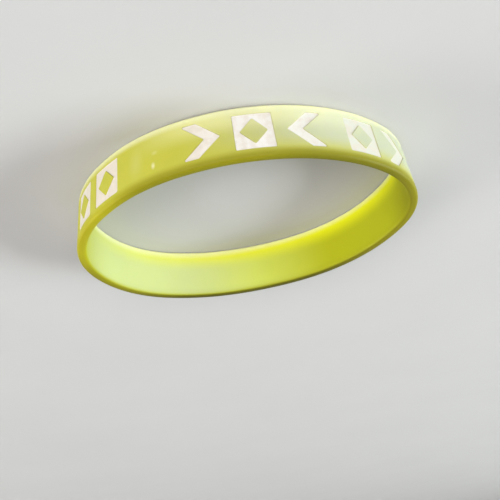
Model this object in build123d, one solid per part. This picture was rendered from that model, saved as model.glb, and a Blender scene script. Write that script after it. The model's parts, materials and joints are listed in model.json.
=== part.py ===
from build123d import *
from math import atan2, cos, degrees, pi, radians, sin, sqrt, tan
import os

# Moulded silicone wristband, lying on its rim. All lengths are in millimetres and all angles in degrees.
# The loop lies in XY with its longer way along X, and +Z points from the rim that it rests on to the other rim.

# The wall: a soft strip that closes on itself
band_width = 12.0
wall_thickness = 2.0
rim_rounding = 0.75
wall_lean = 4.0  # how far the wall spreads outwards on its way up

# The loop's plan, along the middle of the wall at half its height: two end arcs joined by two flatter side arcs
small_end_radius = 22.8
large_end_radius = 28.4
end_spacing = 20.6  # from the centre of one end arc to the centre of the other
side_flattening = 3.7  # by how much a side arc's radius passes half of the loop's length

# The marks sunk into the outer face, and the ink that fills them
rim_to_mark = 2.0
mark_gap = 2.2
chevron_arm = 3.1  # breadth of a chevron's arm, measured along the band
tile_neck = 1.1  # what is left of a tile beside each tip of its diamond hole
pocket_depth = 0.5
ink_recess = 0.2  # from the outer face down to the ink
ink_clearance = 0.04  # between the ink and its pocket

# Where the marks go: one phrase of three groups, repeated round the loop. Gaps are shares of the marks' pitch.
phrase = [
    ["tile", "tile"],
    ["tile", "chevron", "mirrored chevron", "tile"],
    ["chevron", "tile", "mirrored chevron"],
]
phrase_count = 2
group_gap = 0.25  # extra space between two groups
phrase_gap = 1.25  # extra space between two phrases
row_start = 0.83  # where the first phrase begins, as a share of the loop from the large end

# How far a cutting tool passes the surface that it cuts
overrun = 1.0


def plan_arcs():
    """The plan's arcs in order, anticlockwise from +X: centre x, centre y, radius, first angle, span."""
    side_radius = (large_end_radius + end_spacing + small_end_radius) / 2 + side_flattening
    to_large = side_radius - large_end_radius
    to_small = side_radius - small_end_radius
    reach = (to_large**2 - to_small**2 + end_spacing**2) / (2 * end_spacing)
    drop = sqrt(to_large**2 - reach**2)
    large_x = (end_spacing + small_end_radius - large_end_radius) / 2
    small_x = large_x - end_spacing
    side_x = large_x - reach
    large_turn = degrees(atan2(drop, reach))
    small_turn = degrees(atan2(drop, side_x - small_x))
    side_span = 180 - large_turn - small_turn
    return [
        (large_x, 0, large_end_radius, -large_turn, 2 * large_turn),
        (side_x, -drop, side_radius, large_turn, side_span),
        (small_x, 0, small_end_radius, 180 - small_turn, 2 * small_turn),
        (side_x, drop, side_radius, 180 + small_turn, side_span),
    ]


def lean_offset(height):
    """How far out the middle of the wall is at a height, against its place at half height."""
    return (height - band_width / 2) * tan(radians(wall_lean))


def strip_section(inner, outer, rounding=0.0):
    """The section of a leaning strip between two offsets from the middle of the wall, both square to the wall."""
    skew = 1 / cos(radians(wall_lean))
    corners = [
        (inner * skew + lean_offset(0), 0),
        (outer * skew + lean_offset(0), 0),
        (outer * skew + lean_offset(band_width), band_width),
        (inner * skew + lean_offset(band_width), band_width),
    ]
    face = make_face(Polyline(*corners, close=True))
    if rounding:
        face = fillet(face.vertices(), rounding)
    return face


def round_loop(section):
    """Carries a section round the plan's arcs and joins the stretches into one solid."""
    loop = None
    for x, y, radius, first, span in plan_arcs():
        outward = Vector(cos(radians(first)), sin(radians(first)), 0)
        plane = Plane(
            origin=Vector(x, y, 0) + outward * radius,
            x_dir=outward,
            z_dir=outward.cross(Vector(0, 0, 1)),
        )
        stretch = revolve(plane * section, Axis((x, y, 0), (0, 0, 1)), span)
        loop = stretch if loop is None else loop + stretch
    return loop


def loop_length():
    """Length of the loop along the middle of the wall."""
    return sum(radius * radians(span) for _, _, radius, _, span in plan_arcs())


def face_plane(along):
    """The plane that touches the outer face at half height, a way along the loop from the middle of the large end."""
    arcs = plan_arcs()
    left = (along + arcs[0][2] * radians(arcs[0][4]) / 2) % loop_length()
    for x, y, radius, first, span in arcs:
        if left <= radius * radians(span):
            break
        left -= radius * radians(span)
    turn = radians(first) + left / radius
    outward = Vector(cos(turn), sin(turn), 0)
    lean = radians(wall_lean)
    reach = radius + wall_thickness / 2 / cos(lean)
    return Plane(
        origin=Vector(x, y, band_width / 2) + outward * reach,
        x_dir=Vector(-sin(turn), cos(turn), 0),
        z_dir=outward * cos(lean) - Vector(0, 0, sin(lean)),
    )


def chevron(width, height):
    """A chevron that points along the band."""
    return Polyline(
        (-width / 2, height / 2),
        (-width / 2 + chevron_arm, height / 2),
        (width / 2, 0),
        (-width / 2 + chevron_arm, -height / 2),
        (-width / 2, -height / 2),
        (width / 2 - chevron_arm, 0),
        close=True,
    )


def diamond(width, height):
    """A diamond."""
    return Polyline((width / 2, 0), (0, height / 2), (-width / 2, 0), (0, -height / 2), close=True)


def mark_face(kind, width, height):
    """The flat outline of one mark, filled."""
    if kind == "tile":
        hole = make_face(diamond(width - 2 * tile_neck, height - 2 * tile_neck))
        return Rectangle(width, height) - hole
    face = make_face(chevron(width, height))
    return face.mirror(Plane.YZ) if kind == "mirrored chevron" else face


def mark_places():
    """Each mark's kind and its centre's way along the loop."""
    gaps = (len(phrase) - 1) * group_gap + phrase_gap
    pitch = loop_length() / phrase_count / (sum(len(group) for group in phrase) + gaps)
    places = []
    along = row_start * loop_length()
    for _ in range(phrase_count):
        for group in phrase:
            for kind in group:
                places.append((kind, along + pitch / 2))
                along += pitch
            along += group_gap * pitch
        along += (phrase_gap - group_gap) * pitch
    return places, pitch


def marks_in(layer, shrink):
    """The marks as solids within a layer of the wall, drawn in all round by a small distance."""
    places, pitch = mark_places()
    width = pitch - mark_gap
    height = band_width - 2 * rim_to_mark
    solids = []
    for kind, along in places:
        face = mark_face(kind, width, height)
        if shrink:
            face = offset(face, -shrink, kind=Kind.INTERSECTION)
        prism = extrude(face_plane(along) * face, overrun, both=True)
        solids += (prism & layer).solids()
    return solids


def make_band():
    """The moulded silicone: a hollow oval loop with rounded rims and the marks' pockets."""
    half = wall_thickness / 2
    rounding = min(rim_rounding, 0.45 * wall_thickness)
    loop = round_loop(strip_section(-half, half, rounding))
    pocket_layer = round_loop(strip_section(half - pocket_depth, half + overrun))
    return loop - marks_in(pocket_layer, 0)


def make_ink():
    """The white ink in the pockets, one thin solid in each."""
    half = wall_thickness / 2
    ink_layer = round_loop(strip_section(half - pocket_depth + ink_clearance, half - ink_recess))
    return Compound(children=marks_in(ink_layer, ink_clearance))


os.makedirs("parts", exist_ok=True)
export_step(make_band(), "parts/band.step")
export_step(make_ink(), "parts/ink_fill.step")
print(f"inner circumference {loop_length() - pi * wall_thickness:.1f} mm, marks {len(mark_places()[0])}")
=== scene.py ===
import json
from math import atan2, ceil, cos, hypot, pi, radians, sin, sqrt, tan

import bmesh
import bpy
from mathutils import Matrix, Vector
from mathutils.geometry import delaunay_2d_cdt

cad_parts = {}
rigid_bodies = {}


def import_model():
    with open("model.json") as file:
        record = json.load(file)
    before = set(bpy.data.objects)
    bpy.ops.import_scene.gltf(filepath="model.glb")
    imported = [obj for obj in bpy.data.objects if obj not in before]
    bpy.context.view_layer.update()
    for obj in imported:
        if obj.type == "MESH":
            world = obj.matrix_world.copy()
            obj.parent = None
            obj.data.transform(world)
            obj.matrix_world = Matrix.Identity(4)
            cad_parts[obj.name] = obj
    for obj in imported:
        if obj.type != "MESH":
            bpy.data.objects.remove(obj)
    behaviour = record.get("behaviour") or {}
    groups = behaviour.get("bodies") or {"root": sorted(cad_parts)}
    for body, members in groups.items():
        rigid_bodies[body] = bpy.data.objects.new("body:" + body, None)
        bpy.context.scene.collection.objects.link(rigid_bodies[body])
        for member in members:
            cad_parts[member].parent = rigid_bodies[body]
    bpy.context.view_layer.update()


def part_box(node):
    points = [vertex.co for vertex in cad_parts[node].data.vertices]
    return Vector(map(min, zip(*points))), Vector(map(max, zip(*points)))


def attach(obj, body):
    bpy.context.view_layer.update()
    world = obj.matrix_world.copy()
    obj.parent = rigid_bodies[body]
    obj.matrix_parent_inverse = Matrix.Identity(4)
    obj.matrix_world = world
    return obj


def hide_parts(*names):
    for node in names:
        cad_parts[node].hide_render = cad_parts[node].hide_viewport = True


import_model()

# The band: one soft wall of lime green silicone, moulded in one shot as a closed loop with rounded rims.
# Lying on one rim it relaxes into an oval that is blunter at one end, with a few gentle swells, and the
# wall spreads a little on its way up.
mm = 0.001
band_low, band_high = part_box("band")
band_width = (band_high - band_low).z
wall_thickness = 2.0 * mm
rim_rounding = 0.75 * mm
wall_lean = radians(4.0)
small_end_radius = 22.8 * mm
large_end_radius = 28.4 * mm
end_spacing = 20.6 * mm
side_flattening = 3.7 * mm
arc_step = radians(1)
# Where the wall stands off its plan: middle and half length as shares of the loop, and shift outwards
swells = [
    (0.089, 0.077, 0.25 * mm),
    (0.234, 0.087, -0.40 * mm),
    (0.358, 0.087, 0.18 * mm),
    (0.527, 0.077, -0.14 * mm),
    (0.805, 0.060, 0.14 * mm),
    (0.902, 0.087, -0.30 * mm),
]


def plan_arcs():
    """The loop's plan along the middle of the wall, as arcs: centre x, centre y, radius, first angle, span.
    It begins in the middle of the large end and goes anticlockwise, seen from above."""
    side_radius = (large_end_radius + end_spacing + small_end_radius) / 2 + side_flattening
    to_large = side_radius - large_end_radius
    to_small = side_radius - small_end_radius
    reach = (to_large**2 - to_small**2 + end_spacing**2) / (2 * end_spacing)
    drop = sqrt(to_large**2 - reach**2)
    large_x = (end_spacing + small_end_radius - large_end_radius) / 2
    small_x = large_x - end_spacing
    side_x = large_x - reach
    large_turn = atan2(drop, reach)
    small_turn = atan2(drop, side_x - small_x)
    side_span = pi - large_turn - small_turn
    return [
        (large_x, 0, large_end_radius, 0, large_turn),
        (side_x, -drop, side_radius, large_turn, side_span),
        (small_x, 0, small_end_radius, pi - small_turn, 2 * small_turn),
        (side_x, drop, side_radius, pi + small_turn, side_span),
        (large_x, 0, large_end_radius, -large_turn, large_turn),
    ]


loop_length = sum(radius * span for _, _, radius, _, span in plan_arcs())


def stand_off(share):
    """How far the wall stands outside its plan, at a share of the loop from the middle of the large end."""
    shift = 0
    for middle, half_length, most in swells:
        away = abs((share - middle + 0.5) % 1 - 0.5)  # the shorter way round the loop
        if away < half_length:
            shift += most * (1 + cos(pi * away / half_length)) / 2
    return shift


def plan_curve():
    """The loop's plan, with its swells, as a closed curve object."""
    points = []
    along = 0
    for x, y, radius, first, span in plan_arcs():
        steps = ceil(span / arc_step)
        for step in range(steps):
            turn = first + span * step / steps
            reach = radius + stand_off(along / loop_length)
            points.append((x + reach * cos(turn), y + reach * sin(turn), 0, 1))
            along += radius * span / steps
    curve = bpy.data.curves.new("plan", "CURVE")
    curve.dimensions = "3D"
    spline = curve.splines.new("POLY")
    spline.points.add(len(points) - 1)
    for point, place in zip(spline.points, points):
        point.co = place
    spline.use_cyclic_u = True
    return bpy.data.objects.new("plan", curve)


# The marks: tiles and chevrons, sunk into the outer face of the silicone by its mould. They stand in a row
# of equal cells, with narrow plain cells for the spaces. Each cell is a straight piece of the whole wall: x
# along the band, y up its width and z outwards from the middle of the wall.
phrase = [
    ["tile", "tile"],
    ["tile", "chevron", "mirrored chevron", "tile"],
    ["chevron", "tile", "mirrored chevron"],
]
phrase_count = 2
group_gap_cells = 1
phrase_gap_cells = 5
gap_cells_per_pitch = 4
row_start = 0.83  # where the row begins, as a share of the loop from the middle of the large end
rim_to_mark = 2.0 * mm
mark_gap = 2.2 * mm
chevron_arm = 3.1 * mm
tile_neck = 1.1 * mm
face_scale = 0.97  # the outer face is longer than the wall's middle, so its marks are drawn narrower
pocket_depth = 0.5 * mm
pocket_draft = tan(radians(5))
lip_rounding = 0.14 * mm
lip_border = 0.06 * mm  # a level ring round each lip, which keeps its shading off the face
corner_rounding = 0.26 * mm
corner_step = radians(25)
sharp_edge = radians(50)
stations_per_gap_cell = 4
face_rows = 16
inner_rows = 8
rim_steps = 6
lip_steps = 3
outline_spacing = 0.45 * mm
weld = 0.001 * mm
fill_weld = weld / 10

marks_per_phrase = sum(len(group) for group in phrase)
gaps_per_phrase = (len(phrase) - 1) * group_gap_cells + phrase_gap_cells
pitch = loop_length / phrase_count / (marks_per_phrase + gaps_per_phrase / gap_cells_per_pitch)
gap_cell = pitch / gap_cells_per_pitch
station = gap_cell / stations_per_gap_cell
grid_clearance = 0.45 * station  # from a mark's sides to the nearest places of the face's grid
face_row = (band_width - 2 * rim_rounding) / face_rows
half_wall = wall_thickness / 2


def rounded_outline(corners):
    """A closed outline with rounded corners: each point's place, and the direction to its right."""
    outline = []
    for number, corner in enumerate(corners):
        corner = Vector(corner)
        arriving = (corner - Vector(corners[number - 1])).normalized()
        leaving = (Vector(corners[(number + 1) % len(corners)]) - corner).normalized()
        turn = atan2(arriving.cross(leaving), arriving.dot(leaving))
        side = 1 if turn > 0 else -1
        centre = corner + (leaving - arriving).normalized() * corner_rounding / cos(turn / 2)
        first = atan2(-arriving.x, arriving.y)
        steps = ceil(abs(turn) / corner_step)
        for step in range(steps + 1):
            angle = first + turn * step / steps
            away = Vector((cos(angle), sin(angle)))
            outline.append((centre + away * corner_rounding * side, away))
    spaced = []
    for number, (place, away) in enumerate(outline):
        following = outline[(number + 1) % len(outline)][0]
        parts = ceil((following - place).length / outline_spacing)
        for part in range(parts):
            spaced.append((place.lerp(following, part / parts), away))
    return spaced


def mark_outlines(kind):
    """A mark's outlines about the middle of its cell, with the pocket on the left of the way round each."""
    width = (pitch - mark_gap) * face_scale
    height = band_width - 2 * rim_to_mark
    arm = chevron_arm * face_scale
    x, y = width / 2, height / 2
    if kind == "tile":
        tip_x = x - tile_neck * face_scale
        tip_y = y - tile_neck
        square = [(-x, -y), (x, -y), (x, y), (-x, y)]
        diamond = [(tip_x, 0), (0, -tip_y), (-tip_x, 0), (0, tip_y)]
        return [rounded_outline(square), rounded_outline(diamond)]
    chevron = [(x - arm, 0), (-x, -y), (arm - x, -y), (x, 0), (arm - x, y), (-x, y)]
    if kind == "mirrored chevron":
        chevron = [(-across, up) for across, up in reversed(chevron)]
    return [rounded_outline(chevron)]


def ring_places(outline, outset):
    """The outline moved away from the pocket by a distance, as x and y in the cell."""
    middle = Vector((pitch, band_width)) / 2
    return [tuple(middle + place + away * outset) for place, away in outline]


def within(place, rings):
    """Whether a place is inside the rings: a level line from it then crosses an odd number of sides."""
    x, y = place
    crossings = 0
    for ring in rings:
        for (ax, ay), (bx, by) in zip(ring, ring[1:] + ring[:1]):
            if (ay > y) != (by > y) and x < ax + (y - ay) * (bx - ax) / (by - ay):
                crossings += 1
    return crossings % 2 == 1


def face_border():
    """The outer face's border in a mark's cell, one way round."""
    top = band_width - rim_rounding
    columns = stations_per_gap_cell * gap_cells_per_pitch
    border = [(number * station, rim_rounding) for number in range(columns)]
    border += [(pitch, rim_rounding + number * face_row) for number in range(face_rows)]
    border += [(pitch - number * station, top) for number in range(columns)]
    border += [(0, top - number * face_row) for number in range(face_rows)]
    return border


def spare_places(rings, wanted):
    """Places of the cell's grid that are inside the rings, or outside them, and clear of their sides."""
    places = []
    ring_points = [point for ring in rings for point in ring]
    for column in range(1, stations_per_gap_cell * gap_cells_per_pitch):
        for number in range(1, face_rows):
            place = (column * station, rim_rounding + number * face_row)
            gaps = (hypot(place[0] - x, place[1] - y) for x, y in ring_points)
            if min(gaps) > grid_clearance and within(place, rings) == wanted:
                places.append(place)
    return places


def add_level_fill(cell, rings, wanted, depth, upwards=True):
    """Fills a level stretch of the cell with triangles: inside the rings, or outside them to the border."""
    points = []
    sides = []
    for loop in [face_border(), *rings]:
        first = len(points)
        points += loop
        sides += [(first + i, first + (i + 1) % len(loop)) for i in range(len(loop))]
    points += spare_places(rings, wanted)
    flat, _, triangles, *_ = delaunay_2d_cdt([Vector(p) for p in points], sides, [], 0, fill_weld)
    corners = [cell.verts.new((x, y, depth)) for x, y in flat]
    for triangle in triangles:
        centre = sum((flat[i] for i in triangle), Vector((0, 0))) / 3
        if within(centre, rings) == wanted:
            order = triangle if upwards else reversed(triangle)
            cell.faces.new([corners[i] for i in order])
    loose = [corner for corner in corners if not corner.link_faces]
    bmesh.ops.delete(cell, geom=loose, context="VERTS")


def add_ring_walls(cell, outline, profile):
    """Joins rings of one outline, each given by its outset and its depth. They are listed from right to
    left, as seen by someone who walks the outline on the finished surface."""
    rings = []
    for outset, depth in profile:
        rings.append([cell.verts.new((x, y, depth)) for x, y in ring_places(outline, outset)])
    for ring, next_ring in zip(rings, rings[1:]):
        for i in range(len(ring)):
            following = (i + 1) % len(ring)
            cell.faces.new((ring[i], ring[following], next_ring[following], next_ring[i]))


def cell_object(kind, cell):
    """The finished cell as an object. Its sharp edges stay sharp where the rest is smooth."""
    bmesh.ops.remove_doubles(cell, verts=cell.verts, dist=weld)
    for edge in cell.edges:
        edge.smooth = len(edge.link_faces) < 2 or edge.calc_face_angle() < sharp_edge
    mesh = bpy.data.meshes.new(kind)
    cell.to_mesh(mesh)
    cell.free()
    return bpy.data.objects.new(kind, mesh)


def rims_and_inner_face():
    """The wall's section as height and depth outwards: from the outer face's upper edge over the rim,
    down the inner face and under the other rim."""
    section = []
    flat = half_wall - rim_rounding
    top = band_width - rim_rounding
    quarters = [(top, flat), (top, -flat), (rim_rounding, -flat), (rim_rounding, flat)]
    for number, (height, depth) in enumerate(quarters):
        if number == 2:
            drop = (top - rim_rounding) / inner_rows
            section += [(top - drop * row, -half_wall) for row in range(1, inner_rows)]
        for step in range(rim_steps + 1):
            turn = (number + step / rim_steps) * pi / 2
            section.append((height + rim_rounding * sin(turn), depth + rim_rounding * cos(turn)))
    return section


def band_cell(kind):
    """One cell of the band: the whole wall, with a pocket in its outer face unless it is a gap."""
    cell = bmesh.new()
    stations = stations_per_gap_cell * (1 if kind == "gap" else gap_cells_per_pitch)
    section = rims_and_inner_face()
    if kind == "gap":
        section += [(rim_rounding + number * face_row, half_wall) for number in range(1, face_rows + 1)]
    lines = []
    for number in range(stations + 1):
        lines.append([cell.verts.new((number * station, height, depth)) for height, depth in section])
    for line, following in zip(lines, lines[1:]):
        for i in range(len(section) - 1):
            cell.faces.new((line[i], following[i], following[i + 1], line[i + 1]))
    if kind != "gap":
        lip = []
        for step in range(lip_steps + 1):
            turn = step / lip_steps * pi / 2
            outset = lip_rounding * (1 - sin(turn))
            lip.append((outset, half_wall - lip_rounding * (1 - cos(turn))))
        guard = (lip_rounding + lip_border, half_wall)
        floor = (-pocket_depth * pocket_draft, half_wall - pocket_depth)
        outlines = mark_outlines(kind)
        for outline in outlines:
            add_ring_walls(cell, outline, [guard, *lip, floor])
        guards = [ring_places(outline, guard[0]) for outline in outlines]
        floors = [ring_places(outline, floor[0]) for outline in outlines]
        add_level_fill(cell, guards, False, half_wall)
        add_level_fill(cell, floors, True, floor[1])
    return cell_object(kind, cell)


# The laying: one tree lays the row of cells round the plan, for the band and the ink alike. The soft wall
# isn't quite true: it wanders inwards by less than a tenth of a millimetre, and its upper rim dips here and
# there.
wander = 0.10 * mm
wander_scale = 55.0  # noise cells in a metre
wander_detail = 1.0
noise_top = 0.8  # the noise that moves the wall hardly ever passes this
rim_dip = 0.12 * mm
dip_power = 4  # the higher, the nearer the dip keeps to the upper rim
seed = 7.0
loop_weld = 2 * weld


def add_node(tree, kind, inputs=(), **settings):
    """A new node with its settings, and its inputs by name or number, each a value or an output."""
    node = tree.nodes.new(kind)
    for setting, value in settings.items():
        setattr(node, setting, value)
    for name, value in dict(inputs).items():
        if isinstance(name, int):
            socket = node.inputs[name]
        else:
            socket = next(s for s in node.inputs if s.name == name and s.enabled)
        if isinstance(value, bpy.types.NodeSocket):
            tree.links.new(value, socket)
        else:
            socket.default_value = value
    return node


def add_math(tree, operation, *values):
    """The result of a sum on values or outputs."""
    return add_node(tree, "ShaderNodeMath", enumerate(values), operation=operation).outputs[0]


def add_vector_math(tree, operation, *values):
    """The result of a sum on vectors, each a value or an output. A length is the node's other output."""
    node = add_node(tree, "ShaderNodeVectorMath", enumerate(values), operation=operation)
    return node.outputs["Value" if operation == "LENGTH" else "Vector"]


def laying_tree():
    """The tree that lays cells end to end and wraps them round the plan."""
    tree = bpy.data.node_groups.new("cells laid round the loop", "GeometryNodeTree")
    tree.interface.new_socket(name="Geometry", in_out="OUTPUT", socket_type="NodeSocketGeometry")
    tree.interface.new_socket(name="Row", in_out="INPUT", socket_type="NodeSocketGeometry")
    tree.interface.new_socket(name="Cells", in_out="INPUT", socket_type="NodeSocketCollection")
    tree.interface.new_socket(name="Plan", in_out="INPUT", socket_type="NodeSocketObject")
    tree.interface.new_socket(name="Finish", in_out="INPUT", socket_type="NodeSocketMaterial")
    sizes = ("Row Start", "Loop Length", "Band Width", "Lean", "Wander", "Wander Scale", "Rim Dip", "Seed")
    for name in sizes:
        tree.interface.new_socket(name=name, in_out="INPUT", socket_type="NodeSocketFloat")
    given = tree.nodes.new("NodeGroupInput").outputs
    kind = add_node(tree, "GeometryNodeInputNamedAttribute", {"Name": "kind"}, data_type="INT")
    cells = add_node(
        tree,
        "GeometryNodeCollectionInfo",
        {"Collection": given["Cells"], "Separate Children": True, "Reset Children": True},
    )
    laid = add_node(
        tree,
        "GeometryNodeInstanceOnPoints",
        {
            "Points": given["Row"],
            "Instance": cells.outputs["Instances"],
            "Pick Instance": True,
            "Instance Index": kind.outputs["Attribute"],
        },
    )
    straight = add_node(tree, "GeometryNodeRealizeInstances", {"Geometry": laid.outputs["Instances"]})
    position = tree.nodes.new("GeometryNodeInputPosition").outputs["Position"]
    marked = add_node(
        tree,
        "GeometryNodeStoreNamedAttribute",
        {"Geometry": straight.outputs["Geometry"], "Name": "unrolled", "Value": position},
        data_type="FLOAT_VECTOR",
        domain="CORNER",
    )
    along, height, depth = add_node(tree, "ShaderNodeSeparateXYZ", {"Vector": position}).outputs
    share = add_math(tree, "DIVIDE", along, given["Loop Length"])
    share = add_math(tree, "FRACT", add_math(tree, "ADD", share, given["Row Start"]))
    plan = add_node(tree, "GeometryNodeObjectInfo", {"Object": given["Plan"]})
    path = add_node(
        tree,
        "GeometryNodeSampleCurve",
        {"Curves": plan.outputs["Geometry"], "Factor": share},
        mode="FACTOR",
    )
    outwards = add_vector_math(tree, "CROSS_PRODUCT", path.outputs["Tangent"], (0, 0, 1))
    up = add_math(tree, "SUBTRACT", height, add_math(tree, "MULTIPLY", given["Band Width"], 0.5))
    reach = add_math(tree, "DIVIDE", depth, add_math(tree, "COSINE", given["Lean"]))
    reach = add_math(tree, "MULTIPLY_ADD", up, add_math(tree, "TANGENT", given["Lean"]), reach)
    uneven = add_node(
        tree,
        "ShaderNodeTexNoise",
        {
            "Vector": path.outputs["Position"],
            "W": given["Seed"],
            "Scale": given["Wander Scale"],
            "Detail": wander_detail,
        },
        noise_dimensions="4D",
    )
    inwards = add_math(tree, "SUBTRACT", uneven.outputs[0], noise_top)
    reach = add_math(tree, "MULTIPLY_ADD", inwards, given["Wander"], reach)
    towards_top = add_math(tree, "DIVIDE", height, given["Band Width"])
    towards_top = add_math(tree, "POWER", towards_top, dip_power)
    towards_top = add_math(tree, "MULTIPLY", towards_top, uneven.outputs[0])
    dip = add_math(tree, "MULTIPLY", given["Rim Dip"], -1)
    level = add_math(tree, "MULTIPLY_ADD", towards_top, dip, height)
    place = add_vector_math(tree, "MULTIPLY_ADD", outwards, reach, path.outputs["Position"])
    x, y, _ = add_node(tree, "ShaderNodeSeparateXYZ", {"Vector": place}).outputs
    place = add_node(tree, "ShaderNodeCombineXYZ", {"X": x, "Y": y, "Z": level})
    bent = add_node(
        tree,
        "GeometryNodeSetPosition",
        {"Geometry": marked.outputs["Geometry"], "Position": place.outputs["Vector"]},
    )
    welded = add_node(
        tree,
        "GeometryNodeMergeByDistance",
        {"Geometry": bent.outputs["Geometry"], "Distance": loop_weld},
    )
    smooth = add_node(tree, "GeometryNodeSetShadeSmooth", {"Geometry": welded.outputs["Geometry"]})
    finished = add_node(
        tree,
        "GeometryNodeSetMaterial",
        {"Geometry": smooth.outputs["Geometry"], "Material": given["Finish"]},
    )
    add_node(tree, "NodeGroupOutput", {"Geometry": finished.outputs["Geometry"]})
    return tree


def row_of_cells(cell_kinds):
    """The start of each cell as a point on X, with the number of its kind."""
    starts = []
    along = 0
    for _ in range(phrase_count):
        for number, group in enumerate(phrase):
            last = number == len(phrase) - 1
            gaps = ["gap"] * (phrase_gap_cells if last else group_gap_cells)
            for kind in group + gaps:
                starts.append((cell_kinds.index(kind), along))
                along += gap_cell if kind == "gap" else pitch
    row = bpy.data.meshes.new("row")
    row.from_pydata([(along, 0, 0) for _, along in starts], [], [])
    row.attributes.new("kind", "INT", "POINT").data.foreach_set("value", [kind for kind, _ in starts])
    return row


cell_kinds = ["chevron", "gap", "mirrored chevron", "tile"]  # in the order that a collection lists them
laying = laying_tree()
plan = plan_curve()


def laid_round(name, make_cell, finish):
    """A closed mesh object: the row's cells, laid round the plan and joined."""
    cells = bpy.data.collections.new(name + " cells")
    for kind in cell_kinds:
        cells.objects.link(make_cell(kind))
    piece = bpy.data.objects.new(name, row_of_cells(cell_kinds))
    bpy.context.scene.collection.objects.link(piece)
    modifier = piece.modifiers.new("laying", "NODES")
    modifier.node_group = laying
    values = {
        "Cells": cells,
        "Plan": plan,
        "Finish": finish,
        "Row Start": row_start,
        "Loop Length": loop_length,
        "Band Width": band_width,
        "Lean": wall_lean,
        "Wander": wander,
        "Wander Scale": wander_scale,
        "Rim Dip": rim_dip,
        "Seed": seed,
    }
    for socket in laying.interface.items_tree:
        if socket.name in values:
            modifier[socket.identifier] = values[socket.name]
    depsgraph = bpy.context.evaluated_depsgraph_get()
    piece_mesh = bpy.data.meshes.new_from_object(
        piece.evaluated_get(depsgraph), preserve_all_data_layers=True, depsgraph=depsgraph
    )
    piece.modifiers.clear()
    piece.data = piece_mesh
    for cell in list(cells.objects):
        bpy.data.objects.remove(cell)
    bpy.data.collections.remove(cells)
    return piece


# The silicone's finish: a slightly cloudy pigment under a satin skin with a fine grain. Its colour changes
# by
# place with painted light and shade: patches of painted sheen, reflection and light on the faces and one of
# painted shade, painted shade on the olive upper rim, a painted highlight along the lower edges and painted
# shade in the corner beside the ink. The long plain stretch keeps the ghost of a wiped mark and two specks
# of stray ink.
# One silicone in two limes: the outer face's is paler and bluer, painted sheen, and the inner face's
# darker, painted shade
lit_outer_lime = (0.386, 0.379, 0.044, 1)
shaded_inner_lime = (0.336, 0.346, 0.004, 1)
# The upper rim drawn olive and darker than the faces: painted shade
shaded_rim_lime = (0.204, 0.189, 0.001, 1)
# A pale lime for the painted highlight along the lower edges
highlight_lime = (0.680, 0.690, 0.435, 1)
# A brown for the painted shade in the corner between a pocket's wall and the ink
corner_shade_brown = (0.300, 0.260, 0.060, 1)
stray_white = (0.700, 0.690, 0.500, 1)
# Painted light and shade on the faces: painted sheen and reflections, a painted pool of light low on the
# inner face and painted shade at the inner face's small end. Face (1 outer, -1 inner), middle along the
# row, half length, most, height where it begins, height where it is full, colour
painted_face_light_and_shade = [
    (1, 148 * mm, 49 * mm, 0.96, 12.0 * mm, 6.7 * mm, (0.408, 0.437, 0.312, 1)),
    (1, 179 * mm, 29 * mm, 0.38, 7.0 * mm, 2.0 * mm, (0.785, 0.795, 0.490, 1)),
    (-1, 69 * mm, 36 * mm, 0.79, 11.9 * mm, 10.8 * mm, (0.545, 0.612, 0.110, 1)),
    (-1, 53 * mm, 35 * mm, 0.96, 11.9 * mm, 10.8 * mm, (0.445, 0.500, 0.210, 1)),
    (-1, 115 * mm, 99 * mm, 0.88, 5.4 * mm, 0.8 * mm, (0.680, 0.680, 0.003, 1)),
    (-1, 143 * mm, 21 * mm, 0.80, 0.0 * mm, 10.8 * mm, (0.200, 0.195, 0.002, 1)),
]
# Painted light and shade on the upper rim, one lighter stretch and two darker ones: middle along the row,
# half length, most, colour
painted_rim_light_and_shade = [
    (16 * mm, 23 * mm, 0.80, (0.385, 0.352, 0.004, 1)),
    (82 * mm, 44 * mm, 0.92, (0.065, 0.062, 0.001, 1)),
    (162 * mm, 22 * mm, 0.80, (0.138, 0.131, 0.001, 1)),
]
patch_core = 0.3  # the share of a painted patch's or a tone's half length where it is at its most
face_edge = 0.30 * mm  # over this depth a face's tone fades out towards the rims
# The painted rim shade grows between these two heights, and between these two depths
rim_tone_foot = 9.5 * mm
rim_tone_top = 12.0 * mm
rim_tone_inner = -1.10 * mm
rim_tone_outer = -0.65 * mm
# The painted highlight along the lower edges: the height where it ends and where it is full, and its
# strength
highlight_top = 2.3 * mm
highlight_full = 0.5 * mm
highlight_strength = 0.67
# Where the painted highlight is thinner on the inner face: middle along the row, half length, most taken
# off
thinner_highlight = (125 * mm, 60 * mm, 0.30 * mm)
satin = 0.58
satin_clouds = 0.12
cloud_strength = 0.14
cloud_detail = 3.0
grain_detail = 2.0
skin_cloud = 14.0 * mm
skin_grain = 0.16 * mm
skin_relief = 0.006 * mm
silicone_ior = 1.42
silicone_shine = 0.25
glow = 0.35
glow_depth = 1.0 * mm
glow_by_colour = (1.0, 0.9, 0.2)
ink_recess = 0.2 * mm
ink_surface = half_wall - ink_recess
ink_creep = 0.07 * mm
# The painted corner shade: how far it spreads, the size of its patches and their detail
corner_shade_spread = 0.11 * mm
corner_shade_patch = 1.5 * mm
corner_shade_detail = 2.0
corner_shade_margin = 2 * lip_rounding  # how far above and below a mark the painted corner shade may reach
# Stray ink: place along the row, height, half length, half height, strength
stray_ink = [
    (204.5 * mm, 6.3 * mm, 1.5 * mm, 3.0 * mm, 0.08),
    (200.3 * mm, 5.6 * mm, 0.60 * mm, 0.45 * mm, 0.16),
    (200.7 * mm, 8.4 * mm, 0.36 * mm, 0.72 * mm, 0.50),
]
stray_edge = 1.5  # how far past its half sizes a speck fades out


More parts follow.
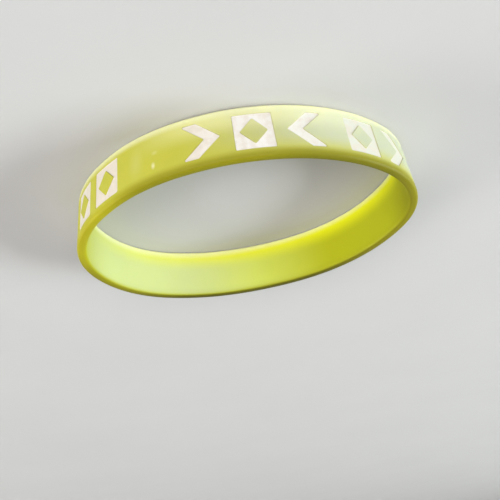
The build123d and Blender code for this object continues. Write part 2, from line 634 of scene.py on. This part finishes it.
def shading_group(name, inputs, outputs):
    """An empty shading group with its sockets, each given as a name and a kind."""
    group = bpy.data.node_groups.new(name, "ShaderNodeTree")
    for sockets, side in ((inputs, "INPUT"), (outputs, "OUTPUT")):
        for socket_name, kind in sockets:
            group.interface.new_socket(name=socket_name, in_out=side, socket_type="NodeSocket" + kind)
    return group


def cured_surface_group():
    """What anything cast or cured shows: broad clouds in its colour, and a fine grain in its skin."""
    group = shading_group(
        "cured surface",
        [("Place", "Vector"), ("Cloud Size", "Float"), ("Grain Size", "Float")],
        [("Clouds", "Float"), ("Grain", "Float")],
    )
    given = group.nodes.new("NodeGroupInput").outputs
    made = {}
    for name, size, detail in (
        ("Clouds", "Cloud Size", cloud_detail),
        ("Grain", "Grain Size", grain_detail),
    ):
        scale = add_math(group, "DIVIDE", 1, given[size])
        inputs = {"Vector": given["Place"], "Scale": scale, "Detail": detail}
        made[name] = add_node(group, "ShaderNodeTexNoise", inputs).outputs[0]
    add_node(group, "NodeGroupOutput", made)
    return group


def corner_shade_group():
    """Patchy painted shade in the corner between a pocket's wall and the ink, told by the depth in the
    wall.
    """
    group = shading_group(
        "corner grime",
        [
            ("Unrolled", "Vector"),
            ("Corner Depth", "Float"),
            ("Spread", "Float"),
            ("Patch Size", "Float"),
        ],
        [("Corner Shade", "Float")],
    )
    given = group.nodes.new("NodeGroupInput").outputs
    _, height, depth = add_node(group, "ShaderNodeSeparateXYZ", {"Vector": given["Unrolled"]}).outputs
    away = add_math(group, "ABSOLUTE", add_math(group, "SUBTRACT", depth, given["Corner Depth"]))
    near = add_math(group, "SUBTRACT", 1, add_math(group, "DIVIDE", away, given["Spread"]))
    near = add_math(group, "MAXIMUM", near, 0)
    lowest = rim_to_mark - corner_shade_margin
    above = add_math(group, "GREATER_THAN", height, lowest)
    below = add_math(group, "LESS_THAN", height, band_width - lowest)
    scale = add_math(group, "DIVIDE", 1, given["Patch Size"])
    inputs = {"Vector": given["Unrolled"], "Scale": scale, "Detail": corner_shade_detail}
    patches = add_node(group, "ShaderNodeTexNoise", inputs)
    shade = add_math(group, "MULTIPLY", add_math(group, "MULTIPLY", near, above), below)
    add_node(group, "NodeGroupOutput", {"Corner Shade": add_math(group, "MULTIPLY", shade, patches.outputs[0])})
    return group


cured_surface = cured_surface_group()
corner_shade_tree = corner_shade_group()


def new_material(name):
    """A new material, its tree and its shader."""
    material = bpy.data.materials.new(name)
    material.use_nodes = True
    return material, material.node_tree, material.node_tree.nodes["Principled BSDF"]


def add_blend(tree, factor, first, second):
    """A colour that goes from the first to the second. The node's inputs 6 and 7 are its colours."""
    inputs = {0: factor, 6: first, 7: second}
    return add_node(tree, "ShaderNodeMix", inputs, data_type="RGBA").outputs[2]


def add_fade(tree, value, nothing, full, strength):
    """A soft mask: nought where the value is at nothing, and the strength where it is at full."""
    fade = add_node(
        tree,
        "ShaderNodeMapRange",
        {"Value": value, "From Min": nothing, "From Max": full, "To Max": strength},
        interpolation_type="SMOOTHSTEP",
    )
    return fade.outputs["Result"]


def add_patch(tree, along, middle, half_length, strength):
    """A soft mask about a place along the row, which closes on itself."""
    away = add_math(tree, "PINGPONG", add_math(tree, "SUBTRACT", along, middle), loop_length / 2)
    return add_fade(tree, away, half_length, patch_core * half_length, strength)


def add_face_tones(tree, unrolled):
    """The silicone's colour by its place on the wall, with its painted light and shade."""
    along, height, depth = add_node(tree, "ShaderNodeSeparateXYZ", {"Vector": unrolled}).outputs
    inwards = add_math(tree, "MULTIPLY", depth, -1)
    on_face = {}
    for side, towards in ((1, depth), (-1, inwards)):
        on_face[side] = add_fade(tree, towards, half_wall - face_edge, half_wall, 1)
    # The wall's lime, with painted sheen on the outer face and painted shade on the inner face
    colour = add_blend(tree, add_fade(tree, inwards, 0, face_edge, 1), lit_outer_lime, shaded_inner_lime)
    # Patches of painted sheen, reflection and light on the faces, and one of painted shade
    for side, middle, half_length, most, nothing, full, patch_colour in painted_face_light_and_shade:
        painted_patch = add_patch(tree, along, middle, half_length, most)
        painted_patch = add_math(tree, "MULTIPLY", painted_patch, on_face[side])
        painted_patch = add_math(tree, "MULTIPLY", painted_patch, add_fade(tree, height, nothing, full, 1))
        colour = add_blend(tree, painted_patch, colour, patch_colour)
    # The upper rim and the top of the outer face drawn olive: painted shade, with lighter and darker
    # painted stretches
    painted_rim_colour = shaded_rim_lime
    for middle, half_length, most, tone in painted_rim_light_and_shade:
        painted_rim_colour = add_blend(tree, add_patch(tree, along, middle, half_length, most), painted_rim_colour, tone)
    on_rim = add_math(
        tree,
        "MULTIPLY",
        add_fade(tree, height, rim_tone_foot, rim_tone_top, 1),
        add_fade(tree, depth, rim_tone_inner, rim_tone_outer, 1),
    )
    colour = add_blend(tree, on_rim, colour, painted_rim_colour)
    # A painted highlight along the lower edges, thinner on part of the inner face
    taken_off = add_math(tree, "MULTIPLY", add_patch(tree, along, *thinner_highlight), on_face[-1])
    line_height = add_math(tree, "ADD", height, taken_off)
    painted_highlight = add_fade(tree, line_height, highlight_top, highlight_full, highlight_strength)
    return add_blend(tree, painted_highlight, colour, highlight_lime)


def add_stray_ink(tree, unrolled, colour):
    """The colour with faint specks of ink on it."""
    for along, height, half_length, half_height, strength in stray_ink:
        offset = add_vector_math(tree, "SUBTRACT", unrolled, (along, height, half_wall))
        offset = add_vector_math(tree, "DIVIDE", offset, (half_length, half_height, half_wall))
        distance = add_vector_math(tree, "LENGTH", offset)
        speck = add_fade(tree, distance, stray_edge, 0, strength)
        colour = add_blend(tree, speck, colour, stray_white)
    return colour


def add_skin(tree, cloud_size, grain_size):
    """The clouds and the grain of a cured surface, by the place on the object."""
    place = tree.nodes.new("ShaderNodeTexCoord").outputs["Object"]
    inputs = {"Place": place, "Cloud Size": cloud_size, "Grain Size": grain_size}
    return add_node(tree, "ShaderNodeGroup", inputs, node_tree=cured_surface).outputs


def add_corner_shade(tree, unrolled, spread):
    """The painted shade where a pocket's wall meets the ink."""
    inputs = {
        "Unrolled": unrolled,
        "Corner Depth": ink_surface + ink_creep,
        "Spread": spread,
        "Patch Size": corner_shade_patch,
    }
    return add_node(tree, "ShaderNodeGroup", inputs, node_tree=corner_shade_tree).outputs["Corner Shade"]


def add_relief(tree, grain, depth):
    """The normal of a skin with a grain of that depth."""
    return add_node(tree, "ShaderNodeBump", {"Height": grain, "Distance": depth}).outputs["Normal"]


def silicone_material():
    """Lime green silicone."""
    material, tree, shader = new_material("lime silicone")
    unrolled = add_node(tree, "ShaderNodeAttribute", attribute_name="unrolled").outputs["Vector"]
    skin = add_skin(tree, skin_cloud, skin_grain)
    colour = add_stray_ink(tree, unrolled, add_face_tones(tree, unrolled))
    # Painted shade in the corner where the pocket's wall meets the ink
    colour = add_blend(tree, add_corner_shade(tree, unrolled, corner_shade_spread), colour, corner_shade_brown)
    brightness = add_math(tree, "MULTIPLY_ADD", skin["Clouds"], cloud_strength, 1 - cloud_strength / 2)
    cloudy = add_node(tree, "ShaderNodeHueSaturation", {"Value": brightness, "Color": colour})
    rough = add_math(tree, "MULTIPLY_ADD", skin["Clouds"], satin_clouds, satin - satin_clouds / 2)
    tree.links.new(cloudy.outputs["Color"], shader.inputs["Base Color"])
    tree.links.new(rough, shader.inputs["Roughness"])
    tree.links.new(add_relief(tree, skin["Grain"], skin_relief), shader.inputs["Normal"])
    shader.inputs["IOR"].default_value = silicone_ior
    shader.inputs["Specular IOR Level"].default_value = silicone_shine
    shader.inputs["Subsurface Weight"].default_value = glow
    shader.inputs["Subsurface Radius"].default_value = glow_by_colour
    shader.inputs["Subsurface Scale"].default_value = glow_depth
    return material


band = laid_round("silicone_band", band_cell, silicone_material())
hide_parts("band")
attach(band, "root")

# The ink: white silicone ink wiped into the pockets and cured. It stops a little below the outer face, and
# creeps up the pocket's wall at its edges.
ink_clearance = 0.012 * mm
creep_width = 0.24 * mm  # under corner_rounding, so that the rings don't cross at the corners
creep_steps = 3
ink_white = (0.616, 0.600, 0.565, 1)
ink_cream = (0.530, 0.480, 0.405, 1)
# The ink where it creeps up the pocket's wall, drawn whiter: a painted highlight
ink_edge_highlight = (0.640, 0.628, 0.590, 1)
# The ink in the corner at the pocket's wall, drawn darker and olive: painted shade
shaded_ink_corner = (0.430, 0.400, 0.220, 1)
# The ink's tones: middle along the row, half length, most, colour
ink_tones = [
    (0 * mm, 26 * mm, 0.80, (0.570, 0.505, 0.400, 1)),
    (148 * mm, 33 * mm, 0.85, (0.470, 0.488, 0.410, 1)),
]
ink_cloud = 1.6 * mm
ink_grain = 0.22 * mm
ink_relief = 0.010 * mm
ink_matt = 0.48
ink_matt_grain = 0.15
mottle_low = 0.38  # where the clouds' noise begins to turn the ink creamy
mottle_high = 0.64
mottle_strength = 0.65
crept_strength = 0.8


def ink_cell(kind):
    """The ink of one cell, a thin closed solid, or nothing in a gap."""
    cell = bmesh.new()
    if kind != "gap":
        bottom = half_wall - pocket_depth + ink_clearance
        profile = []
        for step in range(creep_steps + 1):
            share = 1 - step / creep_steps
            outset = -creep_width * (1 - share) - ink_clearance * share
            profile.append((outset, ink_surface + ink_creep * share**2))
        edge_outset = -(half_wall - profile[0][1]) * pocket_draft - ink_clearance
        foot_outset = -(pocket_depth - ink_clearance) * pocket_draft - ink_clearance
        profile[0] = (edge_outset, profile[0][1])
        outlines = mark_outlines(kind)
        for outline in outlines:
            add_ring_walls(cell, outline, [(foot_outset, bottom), *profile])
        tops = [ring_places(outline, profile[-1][0]) for outline in outlines]
        feet = [ring_places(outline, foot_outset) for outline in outlines]
        add_level_fill(cell, tops, True, ink_surface)
        add_level_fill(cell, feet, True, bottom, upwards=False)
    return cell_object(kind, cell)


def ink_material():
    """White ink, a little creamy in places, with a painted highlight where it creeps up the wall and
    painted shade in the corner at its edges.
    """
    material, tree, shader = new_material("white ink")
    unrolled = add_node(tree, "ShaderNodeAttribute", attribute_name="unrolled").outputs["Vector"]
    skin = add_skin(tree, ink_cloud, ink_grain)
    along, _, depth = add_node(tree, "ShaderNodeSeparateXYZ", {"Vector": unrolled}).outputs
    colour = ink_white
    for middle, half_length, most, tone in ink_tones:
        colour = add_blend(tree, add_patch(tree, along, middle, half_length, most), colour, tone)
    mottle = add_fade(tree, skin["Clouds"], mottle_low, mottle_high, mottle_strength)
    colour = add_blend(tree, mottle, colour, ink_cream)
    crept = add_fade(tree, depth, ink_surface, ink_surface + ink_creep, crept_strength)
    # A painted highlight where the ink creeps up the wall
    colour = add_blend(tree, crept, colour, ink_edge_highlight)
    # Painted shade in the corner where the ink meets the pocket's wall
    colour = add_blend(tree, add_corner_shade(tree, unrolled, ink_creep), colour, shaded_ink_corner)
    rough = add_math(tree, "MULTIPLY_ADD", skin["Grain"], ink_matt_grain, ink_matt)
    tree.links.new(colour, shader.inputs["Base Color"])
    tree.links.new(rough, shader.inputs["Roughness"])
    tree.links.new(add_relief(tree, skin["Grain"], ink_relief), shader.inputs["Normal"])
    return material


ink = laid_round("ink_marks", ink_cell, ink_material())
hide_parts("ink_fill")
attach(ink, "root")
bpy.data.objects.remove(plan)

# The floor: a plain pale painted board with a satin skin, which sweeps up all round into a plain backdrop.
# It is only the setting and not part of the model.
board_radius = 1.3
sweep_radius = 0.7
backdrop_top = 2.0
sweep_steps = 12
board_sides = 96
board_pale = (0.49, 0.485, 0.48, 1)
board_light = (0.52, 0.515, 0.51, 1)
board_cloud = 60.0 * mm
board_grain = 0.8 * mm
board_satin = 0.75
board_shine = 0.3


def floor_mesh():
    """The board and its backdrop, turned about the upright through the origin."""
    floor = bmesh.new()
    profile = [floor.verts.new((0, 0, 0))]
    for step in range(sweep_steps + 1):
        turn = step / sweep_steps * pi / 2
        x = board_radius + sweep_radius * sin(turn)
        z = sweep_radius * (1 - cos(turn))
        profile.append(floor.verts.new((x, 0, z)))
    profile.append(floor.verts.new((board_radius + sweep_radius, 0, backdrop_top)))
    edges = [floor.edges.new(pair) for pair in zip(profile, profile[1:])]
    bmesh.ops.spin(
        floor, geom=profile + edges, axis=(0, 0, 1), cent=(0, 0, 0), steps=board_sides, angle=2 * pi
    )
    bmesh.ops.remove_doubles(floor, verts=floor.verts, dist=weld)
    for face in floor.faces:
        face.smooth = True
        face.normal_update()
        inwards = Vector((0, 0, 1)) - face.calc_center_median().normalized()
        if face.normal.dot(inwards) < 0:  # the board faces up and the backdrop faces the band
            face.normal_flip()
    mesh = bpy.data.meshes.new("floor")
    floor.to_mesh(mesh)
    floor.free()
    return mesh


def board_material():
    """Pale painted board."""
    material, tree, shader = new_material("pale board")
    skin = add_skin(tree, board_cloud, board_grain)
    colour = add_blend(tree, skin["Clouds"], board_pale, board_light)
    tree.links.new(colour, shader.inputs["Base Color"])
    shader.inputs["Roughness"].default_value = board_satin
    shader.inputs["Specular IOR Level"].default_value = board_shine
    return material


floor = bpy.data.objects.new("floor", floor_mesh())
floor.data.materials.append(board_material())
bpy.context.scene.collection.objects.link(floor)

# The light: wide soft lamps all round and low, the strongest in front and at the small end's side, a weak
# one high at the back, and dim warm surroundings.
lamp_distance = 1.6
# Lamps: name, angle round the band from in front, height angle, width, height, power, colour
lamps = [
    ("side", -103, 23, 0.90, 0.50, 33.0, (0.92, 1.0, 1.0)),
    ("front", 0, 22, 2.00, 0.50, 32.0, (1.0, 0.975, 0.99)),
    ("far side", 85, 18, 0.80, 0.50, 13.2, (1.0, 1.0, 0.97)),
    ("back", 170, 62, 1.00, 0.80, 4.6, (1.0, 0.98, 0.95)),
]
for name, round_angle, height_angle, width, height, power, colour in lamps:
    lamp = bpy.data.lights.new(name, "AREA")
    lamp.shape = "RECTANGLE"
    lamp.size = width
    lamp.size_y = height
    lamp.energy = power
    lamp.color = colour
    holder = bpy.data.objects.new(name, lamp)
    turn, lift = radians(round_angle), radians(height_angle)
    holder.location = Vector((sin(turn) * cos(lift), -cos(turn) * cos(lift), sin(lift))) * lamp_distance
    holder.rotation_euler = (-holder.location).to_track_quat("-Z", "Y").to_euler()
    bpy.context.scene.collection.objects.link(holder)

surroundings = bpy.data.worlds.new("surroundings")
surroundings.use_nodes = True
background = surroundings.node_tree.nodes["Background"]
background.inputs["Color"].default_value = (1.0, 0.93, 0.85, 1)
background.inputs["Strength"].default_value = 0.10
bpy.context.scene.world = surroundings
bpy.context.scene.view_settings.view_transform = "Standard"

# The camera: it stands where the photograph was taken from, above the floor. It is held the same way
# round, about half a turn from upright.
camera_place = Vector((-25.77, -137.42, 80.81)) * mm
camera_right = Vector((-0.95891, 0.24706, 0.13949)).normalized()
camera_forward = Vector((0.16694, 0.88897, -0.42645)).normalized()
camera_data = bpy.data.cameras.new("camera")
camera_data.lens = 51.53
camera_data.clip_start = 0.01
camera = bpy.data.objects.new("camera", camera_data)
camera_up = camera_right.cross(camera_forward).normalized()
turned = Matrix((camera_right, camera_up, -camera_forward)).transposed()
camera.matrix_world = Matrix.Translation(camera_place) @ turned.to_4x4()
bpy.context.scene.collection.objects.link(camera)
bpy.context.scene.camera = camera
